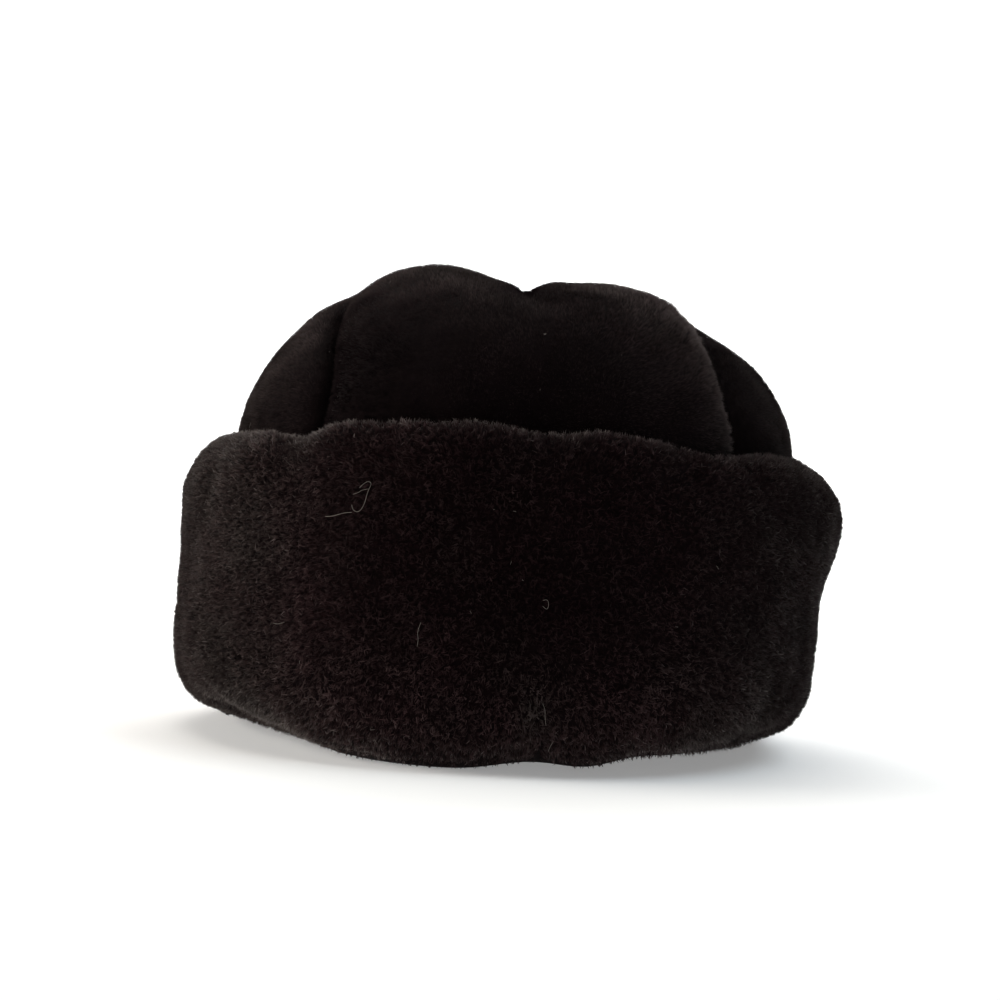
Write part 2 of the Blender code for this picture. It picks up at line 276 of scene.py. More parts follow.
# The paper under and behind the hat, in metres, and how it glows near the hat and far from it
PAPER_SIDE = 3.6
PAPER_BACK_FROM = 1.7
PAPER_RISE = 2.4
PAPER_BEND = 0.7
PAPER_GLOW = (0.26, 0.86)
PAPER_GLOW_FROM = (0.6, 1.5)

# The world's light, from the camera's side to the far side, and as the camera itself sees it
WORLD_LIGHT = (0.34, 0.85)
WORLD_LIGHT_FROM = (-1, 0.4)
WORLD_SEEN = 18

# The photograph's camera
EYE = (0, -605 * MM, 64 * MM)
TARGET = (-4.6 * MM, 0, 80.3 * MM)
LENS = 63.1
SENSOR = 36
ROLL = math.radians(3)


# Steady noise, the same on every run

def hashed(cells, seed):
    """A number from 0 to 1 for each row of whole numbers."""
    x, y, z = (cells[:, k].astype(np.int64).astype(np.uint64) for k in range(3))
    mixed = x * np.uint64(73856093) ^ y * np.uint64(19349663) ^ z * np.uint64(83492791)
    mixed = (mixed + np.uint64(seed * 2654435761)) & np.uint64(0xFFFFFFFF)
    mixed = ((mixed ^ (mixed >> np.uint64(15))) * np.uint64(2246822519)) & np.uint64(0xFFFFFFFF)
    mixed = ((mixed ^ (mixed >> np.uint64(13))) * np.uint64(3266489917)) & np.uint64(0xFFFFFFFF)
    return (mixed ^ (mixed >> np.uint64(16))).astype(float) / 2**32


def noise(points, size, seed):
    """Smooth noise from -1 to 1, with lumps of about that size."""
    scaled = points / size
    base = np.floor(scaled)
    part = scaled - base
    part = part * part * (3 - 2 * part)
    total = np.zeros(len(points))
    for corner in np.ndindex(2, 2, 2):
        share = np.prod(np.where(np.array(corner) == 1, part, 1 - part), axis=1)
        total += share * hashed(base + corner, seed)
    return total * 2 - 1


def cloud(points, kind):
    """A named kind of noise, up to its own amount either way."""
    return kind.amount * noise(points, kind.size, kind.seed)


def noise_vectors(points, size, seed):
    return np.stack([noise(points, size, seed + step) for step in (0, 11, 23)], axis=1)


def unit(vectors):
    return vectors / np.maximum(np.linalg.norm(vectors, axis=1, keepdims=True), 1e-9)


def ease(low, high, values):
    """A smooth step, from 0 where values are at low to 1 where they are at high."""
    t = np.clip((values - low) / (high - low), 0, 1)
    return t * t * (3 - 2 * t)


def nearest_tuft(points, size, seed):
    """The nearest centre of a jittered grid, and a number from 0 to 1 of its own."""
    cell = np.floor(points / size)
    best = np.full(len(points), np.inf)
    centres = np.zeros_like(points)
    own = np.zeros(len(points))
    for step in np.ndindex(3, 3, 3):
        near = cell + np.array(step) - 1
        jitter = np.stack([hashed(near, seed + k) for k in (1, 2, 3)], axis=1)
        centre = (near + jitter) * size
        away = np.sum((points - centre) ** 2, axis=1)
        closer = away < best
        best[closer] = away[closer]
        centres[closer] = centre[closer]
        own[closer] = hashed(near[closer], seed + 4)
    return centres, own


# Pelts

def deselect_all():
    for thing in list(bpy.context.selected_objects):
        thing.select_set(False)


def activate(thing):
    deselect_all()
    thing.select_set(True)
    bpy.context.view_layer.objects.active = thing


def read_mesh(mesh):
    """A mesh's points and their normals as arrays."""
    points = np.empty(len(mesh.vertices) * 3)
    mesh.vertices.foreach_get("co", points)
    normals = np.empty(len(mesh.vertices) * 3)
    mesh.vertices.foreach_get("normal", normals)
    return points.reshape(-1, 3), normals.reshape(-1, 3)


def bearing_of(points):
    """The way that points lie from the head's middle: 0 at the front, and positive to the hat's right."""
    return np.arctan2(points[:, 0] / HEAD_HALF_WIDTH, -points[:, 1] / HEAD_HALF_LENGTH)


def outside_head(points):
    """How far points lie outside the oval of the head opening."""
    bearing = bearing_of(points)
    edge = np.hypot(HEAD_HALF_WIDTH * np.sin(bearing), HEAD_HALF_LENGTH * np.cos(bearing))
    return np.hypot(points[:, 0], points[:, 1]) - edge


def near_corner(points):
    """How near points lie to one of the fold's two front corners, from 0 to 1."""
    corner = np.exp(-(((np.abs(bearing_of(points)) - CORNER_BEARING) / CORNER_SPREAD) ** 2))
    return corner * ease(CORNER_HEIGHT, 0, points[:, 2])


def wool_share(node, points, normals):
    """Where a pelt shows wool, from 0 to 1: outside, and not where the cuff covers the crown."""
    if node == "cuff":
        outwards = np.sum(unit(points * LEVEL) * normals, axis=1)
        lifted = np.minimum(1, CORNER_WOOL_REACH * near_corner(points))
        wool_from = CUFF_WOOL_FROM - CORNER_WOOL_IN * lifted
        side = ease(*WALL_FACING, outwards + CORNER_WOOL_TURN * lifted)
        side *= ease(0, CUFF_WOOL_FADE, outside_head(points) - wool_from)
        roll = ease(*ROLL_FACING, normals[:, 2]) * (points[:, 2] > CUFF_TOP_ROLL_FROM)
        return np.maximum(side, roll)
    outwards = np.sum(unit(points - DOME_MIDDLE) * normals, axis=1)
    above = ease(CROWN_WOOL_FROM, CROWN_WOOL_FROM + CROWN_WOOL_FADE, points[:, 2])
    return ease(*DOME_FACING, outwards) * above


def crease_share(points, width=CREASE_WIDTH):
    """How deep each point lies in the crease between the crown's humps, and how far up its right lip."""
    y = points[:, 1]
    forward = ease(-CREASE_DEEPEST[1], -CREASE_ENDS[1], -y)
    along = ease(-CREASE_ENDS[0], -CREASE_DEEPEST[0], -y) * (1 - forward) * (points[:, 2] > CROWN_SHOULDER)
    across = (points[:, 0] - CREASE_X - CREASE_TURN * forward) / (width * (1 + CREASE_WIDENING * forward))
    lip = (across - CREASE_LIP_AWAY) / CREASE_LIP_SPREAD
    return np.exp(-(across**2)) * along, np.exp(-(lip**2)) * along


def refine_crease(pelt):
    """Smaller faces round the crease, so that it can be narrow."""
    bpy.ops.object.mode_set(mode="EDIT")
    bpy.ops.mesh.select_all(action="DESELECT")
    bpy.ops.object.mode_set(mode="OBJECT")
    for face in pelt.data.polygons:
        x, y, z = face.center
        beside = abs(x - CREASE_FINE_X) < CREASE_FINE_REACH
        face.select = z > CROWN_SHOULDER and beside and CREASE_ENDS[1] < y < CREASE_ENDS[0]
    bpy.ops.object.mode_set(mode="EDIT")
    bpy.ops.mesh.subdivide(number_cuts=1)
    bpy.ops.object.mode_set(mode="OBJECT")


def make_pelt(node, skin, wool_side, hide_side):
    """A node's solid as a softer pelt: welded, rounded, drawn in under its wool and lumped."""
    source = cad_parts[node]
    pelt = source.copy()
    pelt.data = source.data.copy()
    pelt.name = "pelt_" + node
    pelt.parent = None
    bpy.context.scene.collection.objects.link(pelt)
    activate(pelt)
    bpy.ops.object.mode_set(mode="EDIT")
    bpy.ops.mesh.select_all(action="SELECT")
    bpy.ops.mesh.remove_doubles(threshold=0.02 * MM)
    bpy.ops.mesh.tris_convert_to_quads(face_threshold=math.radians(60), shape_threshold=math.radians(60))
    bpy.ops.object.mode_set(mode="OBJECT")
    rounding = pelt.modifiers.new("rounding", "SUBSURF")
    rounding.levels = 1
    rounding.render_levels = 1
    bpy.ops.object.modifier_apply(modifier=rounding.name)
    if node == "crown_front":
        refine_crease(pelt)
    points, normals = read_mesh(pelt.data)
    wool = wool_share(node, points, normals)
    lump = noise(points, skin.wide, LUMP_SEEDS[0])
    lump += FINE_LUMP * noise(points, skin.fine, LUMP_SEEDS[1])
    crease, lip = crease_share(points)
    sunk = skin.inset + CREASE_DEPTH * crease - CREASE_LIP * lip
    points += normals * (wool * (skin.lump * lump - sunk))[:, None]
    if node == "cuff":
        lift = CORNER_LIFT * near_corner(points) * ease(*CORNER_RISE, outside_head(points))
        points[:, 2] += lift * (1 + cloud(points * LEVEL, WAVE_CLOUD))
    points[:, 2] = np.maximum(points[:, 2], 0)
    pelt.data.vertices.foreach_set("co", points.ravel())
    pelt.data.update()
    bpy.ops.object.shade_smooth()
    pelt.data.materials.clear()
    pelt.data.materials.append(wool_side)
    pelt.data.materials.append(hide_side)
    for face in pelt.data.polygons:
        face.material_index = int(wool[list(face.vertices)].mean() < BARE_BELOW)
    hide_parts(node)
    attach(pelt, "root")
    return pelt


def seams_beside(pelt, others):
    """How deep in a seam's valley each point of a pelt lies, from 0 to 1, and the way across the seam."""
    points = read_mesh(pelt.data)[0]
    tree = kdtree.KDTree(sum(len(other.data.vertices) for other in others))
    index = 0
    for other in others:
        for vertex in other.data.vertices:
            tree.insert(vertex.co, index)
            index += 1
    tree.balance()
    nearest = np.array([tree.find(Vector(point))[0] for point in points])
    away = np.linalg.norm(nearest - points, axis=1)
    depth = 1 - ease(*SEAM_REACH, away)
    return np.column_stack([depth, unit(nearest - points) * depth[:, None]])


# Pile

def scatter(pelt, node, pile, per_mm2, seams, maker):
    """Random roots over the woolly part of a pelt, with the way out and the nearest seam at each."""
    mesh = pelt.data
    mesh.calc_loop_triangles()
    points, normals = read_mesh(mesh)
    corners = np.empty(len(mesh.loop_triangles) * 3, np.int32)
    mesh.loop_triangles.foreach_get("vertices", corners)
    corners = corners.reshape(-1, 3)
    a, b, c = (points[corners[:, k]] for k in range(3))
    area = np.linalg.norm(np.cross(b - a, c - a), axis=1) / 2
    share = wool_share(node, points, normals)[corners].mean(axis=1)
    if pile.facing:
        level = unit((a + b + c) * LEVEL)
        toward = level[:, 0] * pile.facing[0] + level[:, 1] * pile.facing[1]
        share = share * (toward >= math.cos(math.radians(45)))
    weight = area * share
    count = int(weight.sum() * per_mm2 / MM**2)
    chosen = maker.choice(len(weight), count, p=weight / weight.sum())
    u, v = maker.random(count), maker.random(count)
    over = u + v > 1
    u[over], v[over] = 1 - u[over], 1 - v[over]
    mix = np.stack([1 - u - v, u, v], axis=1)
    roots = np.einsum("ij,ijk->ik", mix, points[corners[chosen]])
    outs = unit(np.einsum("ij,ijk->ik", mix, normals[corners[chosen]]))
    beside = np.einsum("ij,ijk->ik", mix, seams[corners[chosen]])
    return roots, outs, beside[:, 0], beside[:, 1:]


def join_nearness(roots):
    """How near roots are to the cuff's join, and on which side of it."""
    across = roots[:, 0] - JOIN_X
    near = np.exp(-((across / JOIN_SPREAD) ** 2)) * ease(JOIN_HEIGHT, 0, roots[:, 2]) * (roots[:, 1] < 0)
    return near, np.sign(across)


def ragged_edge(node, roots, depth):
    """Where the front gore's right edge stands up in ragged locks over its neighbour, paler with painted
    light.
    """
    if node != "crown_front":
        return np.zeros(len(roots))
    from_edge = roots[:, 0] - BAND_X - BAND_LEAN * (BAND_HEIGHT - roots[:, 2])
    band = ease(-BAND_WIDTH, -BAND_INNER_SHARE * BAND_WIDTH, from_edge) * (roots[:, 1] < 0)
    seam = ease(*EDGE_DEPTH, depth) * ease(*EDGE_FROM, roots[:, 0])
    return np.maximum(seam, BAND_SHARE * band)


def lie_of_wool(node, roots, outs, across, fleece):
    """Which way the wool leans at each root, before its tufts draw it together."""
    down = outs * outs[:, 2:3] - np.array([0, 0, 1.0])
    lean = fleece.lay * down + fleece.swirl * noise_vectors(roots, SWIRL_SIZE, SWIRL_SEED)
    lean += FINE_SWIRL * fleece.swirl * noise_vectors(roots, FINE_SWIRL_SIZE, FINE_SWIRL_SEED)
    lean += SEAM_LEAN * across
    if node == "cuff":
        near, side = join_nearness(roots)
        lean[:, 0] += side * JOIN_LEAN * near
    return lean


def painted_shade_at(node, roots):
    """How much painted light or shade each root gets, paler or darker than usual, by the stretches of its
    node that it lies in.
    """
    ways = {"x": roots[:, 0], "aside": np.abs(roots[:, 0]), "z": roots[:, 2]}
    total = np.zeros(len(roots))
    for shade in PAINTED_SHADES:
        if shade.node == node:
            share = np.ones(len(roots))
            for ramp in shade.ramps:
                share *= ease(ramp.start * MM, ramp.end * MM, ways[ramp.way])
            total += shade.light * share
    return total


def spot_share(spot, roots):
    """How near roots lie to the middle of a spot, from 0 to 1."""
    away = (roots[:, [0, 2]] - np.array(spot.middle) * MM) / (np.array(spot.reach) * MM)
    return np.exp(-np.sum(away**2, axis=1)) * (roots[:, 1] < spot.back * MM)


def wool_tone(node, roots, own, depth, grain, maker):
    """How light each strand is, from 0 and with 1 for its tip's own colour, and how brown, from 0 to 1.
    Both carry painted light and shade as well as the wool's own tone.
    """
    aside = ease(*SIDES_FROM, np.abs(roots[:, 0]))
    light = LIGHT_MIDDLE + cloud(roots, LIGHT_CLOUD) + aside * cloud(roots, SIDE_CLOUD)
    uneven = TUFT_CONTRAST * (own - 0.5) + cloud(roots, STRAND_CLOUD)
    uneven += STRAY_CONTRAST * maker.normal(0, 1, len(roots))
    uneven *= grain * (1 - SIDE_CALM * aside)
    # Less brown at the sides: painted light for the neutral light and sheen that they catch
    brown = BROWN_MIDDLE + cloud(roots, BROWN_CLOUD) + BROWN_TUFTS * (own - 0.5) - BROWN_ASIDE * aside
    # Painted light and shade, stretch by stretch
    light += painted_shade_at(node, roots)
    # Pale spots; the left gore's spot is painted light
    for spot in SPOTS:
        if spot.node == node:
            share = spot_share(spot, roots)
            light += spot.light * share
            brown += spot.brown * share
    if node == "cuff":
        # Painted shade in the parting at the cuff's join
        light -= JOIN_DARK * join_nearness(roots)[0]
        brown += BROWN_RIM * ease(*RIM_BROWN_FROM, roots[:, 2])
    else:
        # Painted shade in the crease between the crown's humps
        light -= CREASE_DARK * crease_share(roots, CREASE_DARK_WIDTH)[0]
    edge = ragged_edge(node, roots, depth)
    # Painted light on the ragged edge, and painted shade in the seams' valleys beside it
    light += EDGE_LIGHT * edge - SEAM_DARK * depth * (1 - edge)
    light = np.maximum(light, LIGHT_LEAST) * (1 + CONTRAST * uneven)
    return np.clip(light, *LIGHT_RANGE), np.clip(brown, 0, 1)


def draw_together(roots, outs, edge, fleece):
    """The way from each root to its tuft's middle, or its lock's, and a number from 0 to 1 for the tuft."""
    centres, own = nearest_tuft(roots, fleece.tuft * MM, TUFT_SEED)
    toward = (centres - roots) / (fleece.tuft * MM)
    if edge.any():
        lock_centres, lock_own = nearest_tuft(roots, LOCK_SIZE, LOCK_SEED)
        toward += edge[:, None] * ((lock_centres - roots) / LOCK_DRAW - toward)
        own += edge * (lock_own - own)
    toward -= outs * np.sum(toward * outs, axis=1, keepdims=True)
    return toward, own


def strand_lengths(node, roots, own, depth, edge, curled, fleece, maker):
    """How long each strand is: uneven by tuft, longer at seams and in locks, and shorter at the rim."""
    length = np.where(curled, fleece.curl_length, fleece.length) * MM
    stray = LENGTH_STRAY * maker.normal(0, 1, len(roots))
    length *= LENGTH_MIDDLE + LENGTH_TUFTS * (own - 0.5) + cloud(roots, LENGTH_CLOUD) + stray
    length *= 1 + LENGTH_SEAM * depth + edge * (LENGTH_EDGE + LENGTH_LOCKS * (own - 0.5))
    if node == "cuff":
        length *= 1 - LENGTH_RIM * ease(*RIM_SHORT_FROM, roots[:, 2])
    return length


def hair_points(base, rise, side, half, length):
    """Three points for each hair: two at its root and its tip."""
    reach = side * half[:, None]
    return np.stack([base - reach, base + reach, base + rise * length[:, None]], axis=1)


def curl_points(base, rise, side, half, length, bend):
    """Five points for each curl: two at its root, two at its knee and its tip."""
    bow = np.cross(side, rise) * bend[:, None]
    reach = side * half[:, None]
    knee = base + rise * CURL_KNEE * length[:, None] + bow * KNEE_BOW
    tip = base + rise * CURL_SPAN * length[:, None] - bow * TIP_BOW
    return np.stack([base - reach, base + reach, knee + reach, knee - reach, tip], axis=1)


def strand_faces(hairs, curls):
    """The triangles of hairs and then of curls, and the strand that each triangle and point belongs to."""
    first_hair = np.arange(hairs)[:, None] * 3
    first_curl = hairs * 3 + np.arange(curls)[:, None] * 5
    faces = np.concatenate([first_hair + [0, 1, 2], first_curl + [0, 1, 2], first_curl + [0, 2, 3],
                            first_curl + [3, 2, 4]])
    hair_strands = np.arange(hairs)
    curl_strands = np.arange(hairs, hairs + curls)
    face_strands = np.concatenate([hair_strands, np.tile(curl_strands, 3)])
    point_strands = np.concatenate([np.repeat(hair_strands, 3), np.repeat(curl_strands, 5)])
    return faces, face_strands, point_strands


def turn_outward(faces, verts, outs):
    """Turns round each triangle that faces into the fleece."""
    corner = verts[faces]
    way = np.cross(corner[:, 1] - corner[:, 0], corner[:, 2] - corner[:, 0])
    inward = np.sum(way * outs, axis=1) < 0
    faces[inward] = faces[inward][:, ::-1]


def grow_pile(pile, pelt, seams, fleece, material):
    """Clipped wool over one stretch of pelt: straight hairs of one face, and curls of three."""
    maker = np.random.default_rng(pile.seed)
    node = pile.node
    roots, outs, depth, across = scatter(pelt, node, pile, fleece.hairs + fleece.curls, seams, maker)
    count = len(roots)
    hairs = int(count * fleece.hairs / (fleece.hairs + fleece.curls))
    curled = np.arange(count) >= hairs
    edge = ragged_edge(node, roots, depth)
    toward, own = draw_together(roots, outs, edge, fleece)
    lean = lie_of_wool(node, roots, outs, across, fleece) + fleece.gather * toward
    lean += maker.normal(0, fleece.spread, (count, 3)) * np.where(curled, CURL_SPREAD, 1)[:, None]
    rise = unit(outs + lean)
    length = strand_lengths(node, roots, own, depth, edge, curled, fleece, maker)
    half = np.where(curled, fleece.curl_width, fleece.width) * MM * maker.uniform(*HALF_WIDTHS, count)
    side = unit(np.cross(rise, maker.normal(0, 1, (count, 3))))
    base = roots - outs * ROOT_DEPTH
    light, brown = wool_tone(node, roots, own, depth, fleece.grain, maker)
    # Painted highlights on the curls
    light *= 1 + CURL_LIGHT * fleece.grain * curled
    stray = maker.normal(0, SOFT_STRAY * fleece.spread, (count, 3))
    soft = unit(outs - SOFT_TUFT * toward * fleece.gather + SOFT_LEAN * lean + stray)
    bend = maker.uniform(-CURL_BEND, CURL_BEND, count - hairs) * length[hairs:]

    straight = hair_points(base[:hairs], rise[:hairs], side[:hairs], half[:hairs], length[:hairs])
    curls = curl_points(base[hairs:], rise[hairs:], side[hairs:], half[hairs:], length[hairs:], bend)
    verts = np.concatenate([straight.reshape(-1, 3), curls.reshape(-1, 3)])
    verts[:, 2] = np.maximum(verts[:, 2], FLOOR_CLEARANCE)
    faces, face_strands, point_strands = strand_faces(hairs, count - hairs)
    turn_outward(faces, verts, outs[face_strands])
    along = np.concatenate([np.tile([0.0, 0.0, 1.0], hairs),
                            np.tile([0.0, 0.0, CURL_KNEE, CURL_KNEE, 1.0], count - hairs)])
    tones = {"along": along, "light": light[point_strands], "brown": brown[point_strands]}
    wool_object(pile.name, verts, faces, soft[point_strands], tones, material)
    return np.column_stack([roots, outs])


def wool_object(name, verts, faces, normals, tones, material):
    """A mesh of many strands, shaded by the way that the wool faces and not strand by strand."""
    mesh = bpy.data.meshes.new(name)
    mesh.vertices.add(len(verts))
    mesh.vertices.foreach_set("co", verts.ravel())
    mesh.loops.add(faces.size)
    mesh.loops.foreach_set("vertex_index", faces.ravel().astype(np.int32))
    mesh.polygons.add(len(faces))
    mesh.polygons.foreach_set("loop_start", np.arange(0, faces.size, 3, dtype=np.int32))
    mesh.update(calc_edges=True)
    mesh.normals_split_custom_set_from_vertices(normals)
    for layer, values in tones.items():
        mesh.attributes.new(layer, "FLOAT", "POINT").data.foreach_set("value", values)
    mesh.materials.append(material)
    wool = bpy.data.objects.new(name, mesh)
    bpy.context.scene.collection.objects.link(wool)
    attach(wool, "root")


# Lint

def seen_through(camera, x, y, surfaces):
    """The point and normal of the pelt under one place of the picture."""
    scale = camera.data.sensor_width / camera.data.lens / PICTURE_SIZE
    middle = PICTURE_SIZE / 2
    look = camera.matrix_world.to_3x3() @ Vector(((x - middle) * scale, (middle - y) * scale, -1))
    hits = [surface.ray_cast(camera.matrix_world.translation, look) for surface in surfaces]
    hits = [hit for hit in hits if hit[0] is not None]
    nearest = min(hits, key=lambda hit: hit[3])
    return nearest[0], nearest[1]


def add_thread(radius, places):
    """One thread as a thin round curve through its places."""
    curve = bpy.data.curves.new("lint", "CURVE")
    curve.dimensions = "3D"
    curve.bevel_depth = radius * MM
    curve.bevel_resolution = 1
    curve.resolution_u = 4
    curve.use_fill_caps = True
    spline = curve.splines.new("NURBS")
    spline.points.add(len(places) - 1)
    for point, place in zip(spline.points, places):
        point.co = (*place, 1)
    spline.order_u = 3
    spline.use_endpoint_u = True
    thread = bpy.data.objects.new("lint", curve)
    bpy.context.scene.collection.objects.link(thread)
    return thread


def add_lint(camera, pelts, rooted, material):
    """Pale threads and specks that have caught in the tips of the wool."""
    surfaces = [BVHTree.FromObject(pelt, bpy.context.evaluated_depsgraph_get()) for pelt in pelts.values()]
    maker = np.random.default_rng(LINT_SEED)
    made = []
    for thread in THREADS:
        places = []
        for x, y in thread.places:
            place, normal = seen_through(camera, x, y, surfaces)
            places.append(place + normal * (LINT_HEIGHT + maker.uniform(-0.3, 0.4) * MM))
        made.append(add_thread(thread.radius, places))
    for chosen in maker.choice(len(rooted), SPECKS, replace=False):
        place, out = rooted[chosen, :3], rooted[chosen, 3:]
        ahead = np.cross(out, maker.normal(0, 1, 3)) * maker.uniform(0.1, 0.5) * MM
        middle = place + out * (LINT_HEIGHT + maker.uniform(-0.5, 0.1) * MM)
        places = (middle - ahead, middle + out * 0.1 * MM, middle + ahead)
        made.append(add_thread(maker.uniform(0.03, 0.05), places))
    deselect_all()
    for thread in made:
        thread.select_set(True)
    bpy.context.view_layer.objects.active = made[0]
    bpy.ops.object.convert(target="MESH")
    bpy.ops.object.join()
    lint = bpy.context.active_object
    lint.name = "lint_in_wool"
    lint.data.materials.clear()
    lint.data.materials.append(material)
    bpy.ops.object.shade_smooth()
    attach(lint, "root")


# Materials

def new_node(tree, kind, **settings):
    node = tree.nodes.new(kind)
    for key, value in settings.items():
        setattr(node, key, value)
    return node


def set_inputs(node, values):
    for name, value in values.items():
        node.inputs[name].default_value = value


def range_node(tree, start, end, **settings):
    """A Map Range node, from one pair of values to another."""
    node = new_node(tree, "ShaderNodeMapRange", **settings)
    set_inputs(node, {"From Min": start[0], "From Max": start[1], "To Min": end[0], "To Max": end[1]})
    return node


def wool_mottle_group():
    """Uneven dye over a fleece: broad cloudy patches and small flecks, read from the object's own space."""
    tree = bpy.data.node_groups.new("wool mottle", "ShaderNodeTree")
    for name, value in (("Patch Scale", 60.0), ("Fleck Scale", 420.0), ("Amount", 0.5)):
        tree.interface.new_socket(name, in_out="INPUT", socket_type="NodeSocketFloat").default_value = value
    tree.interface.new_socket("Tone", in_out="OUTPUT", socket_type="NodeSocketFloat")
    tree.interface.new_socket("Warmth", in_out="OUTPUT", socket_type="NodeSocketFloat")
    given = new_node(tree, "NodeGroupInput")
    result = new_node(tree, "NodeGroupOutput")
    place = new_node(tree, "ShaderNodeTexCoord")
    patch = new_node(tree, "ShaderNodeTexNoise")
    patch.inputs["Detail"].default_value = 3
    fleck = new_node(tree, "ShaderNodeTexNoise")
    fleck.inputs["Detail"].default_value = 2
    both = new_node(tree, "ShaderNodeMath", operation="ADD")
    centred = new_node(tree, "ShaderNodeMath", operation="SUBTRACT")
    centred.inputs[1].default_value = 1.0
    scaled = new_node(tree, "ShaderNodeMath", operation="MULTIPLY_ADD")
    scaled.inputs[2].default_value = 1.0
    warm = range_node(tree, (0.4, 0.65), (0, 1))
    link = tree.links.new
    link(place.outputs["Object"], patch.inputs["Vector"])
    link(place.outputs["Object"], fleck.inputs["Vector"])
    link(given.outputs["Patch Scale"], patch.inputs["Scale"])
    link(given.outputs["Fleck Scale"], fleck.inputs["Scale"])
    link(patch.outputs["Fac"], both.inputs[0])
    link(fleck.outputs["Fac"], both.inputs[1])
    link(both.outputs[0], centred.inputs[0])
    link(centred.outputs[0], scaled.inputs[0])
    link(given.outputs["Amount"], scaled.inputs[1])
    link(scaled.outputs[0], result.inputs["Tone"])
    link(patch.outputs["Color"], warm.inputs["Value"])
    link(warm.outputs["Result"], result.inputs["Warmth"])
    return tree


def start_material(name):
    material = bpy.data.materials.new(name)
    material.use_nodes = True
    return material, material.node_tree, material.node_tree.nodes["Principled BSDF"]


def mottle_node(tree, group, patch_scale, fleck_scale, amount):
    node = new_node(tree, "ShaderNodeGroup")
    node.node_tree = group
    set_inputs(node, {"Patch Scale": patch_scale, "Fleck Scale": fleck_scale, "Amount": amount})
    return node


def facing_normal(tree):
    """The wool's own normal, kept pointing out of the fleece on a strand that is seen from behind."""
    seen = new_node(tree, "ShaderNodeNewGeometry")
    turn = new_node(tree, "ShaderNodeMath", operation="MULTIPLY_ADD")
    turn.inputs[1].default_value = -2.0
    turn.inputs[2].default_value = 1.0
    outward = new_node(tree, "ShaderNodeVectorMath", operation="SCALE")
    tree.links.new(seen.outputs["Backfacing"], turn.inputs[0])
    tree.links.new(seen.outputs["Normal"], outward.inputs[0])
    tree.links.new(turn.outputs[0], outward.inputs["Scale"])
    return outward.outputs["Vector"]


def pile_material(name, group, dye):
    """Strands that are darkest at the root, as painted shade deep in the pile, with lighter and browner
    tips in places; their light attribute carries painted light and shade as well as the wool's own tone.
    """
    material, tree, shader = start_material(name)
    set_inputs(shader, {"Specular IOR Level": 0, "Sheen Roughness": 0.42,
                        "Sheen Tint": (0.96, 0.88, 0.84, 1)})
    shine = new_node(tree, "ShaderNodeMath", operation="MULTIPLY")
    shine.inputs[1].default_value = dye.sheen
    along = new_node(tree, "ShaderNodeAttribute", attribute_name="along")
    light = new_node(tree, "ShaderNodeAttribute", attribute_name="light")
    brown = new_node(tree, "ShaderNodeAttribute", attribute_name="brown")
    mottle = mottle_node(tree, group, 70, 500, dye.mottled)
    tip_mix = new_node(tree, "ShaderNodeMix", data_type="RGBA")
    set_inputs(tip_mix, {"A": dye.tip, "B": dye.brown_tip})
    rising = new_node(tree, "ShaderNodeMath", operation="MULTIPLY")
    toned = new_node(tree, "ShaderNodeMath", operation="MULTIPLY")
    strand = new_node(tree, "ShaderNodeMix", data_type="RGBA", clamp_factor=False)
    strand.inputs["A"].default_value = dye.root
    rough = range_node(tree, (0, 1), (0.95, 0.72))
    link = tree.links.new
    link(brown.outputs["Fac"], tip_mix.inputs["Factor"])
    link(along.outputs["Fac"], rising.inputs[0])
    link(light.outputs["Fac"], rising.inputs[1])
    link(rising.outputs[0], toned.inputs[0])
    link(mottle.outputs["Tone"], toned.inputs[1])
    link(toned.outputs[0], strand.inputs["Factor"])
    link(toned.outputs[0], shine.inputs[0])
    link(shine.outputs[0], shader.inputs["Sheen Weight"])
    link(tip_mix.outputs["Result"], strand.inputs["B"])
    link(strand.outputs["Result"], shader.inputs["Base Color"])
    link(along.outputs["Fac"], rough.inputs["Value"])
    link(rough.outputs["Result"], shader.inputs["Roughness"])
    link(facing_normal(tree), shader.inputs["Normal"])
    return material


def pelt_material(name, group, leather):
    """The pelt itself, under the wool or on its hide side, with a fine uneven nap."""
    material, tree, shader = start_material(name)
    set_inputs(shader, {"Specular IOR Level": 0.02, "Sheen Weight": 0.03, "Sheen Roughness": 0.5})
    mottle = mottle_node(tree, group, leather.patch_scale, leather.fleck_scale, 0.9)
    colour = new_node(tree, "ShaderNodeMix", data_type="RGBA")
    set_inputs(colour, {"A": leather.dark, "B": leather.pale})
    rough = range_node(tree, (0, 1), (leather.roughness, leather.roughness + 0.12))
    raised = new_node(tree, "ShaderNodeBump")
    set_inputs(raised, {"Strength": leather.bump, "Distance": 0.3 * MM})
    link = tree.links.new
    link(mottle.outputs["Warmth"], colour.inputs["Factor"])
    link(colour.outputs["Result"], shader.inputs["Base Color"])
    link(mottle.outputs["Warmth"], rough.inputs["Value"])
    link(rough.outputs["Result"], shader.inputs["Roughness"])
    link(mottle.outputs["Tone"], raised.inputs["Height"])
    link(raised.outputs["Normal"], shader.inputs["Normal"])
    return material


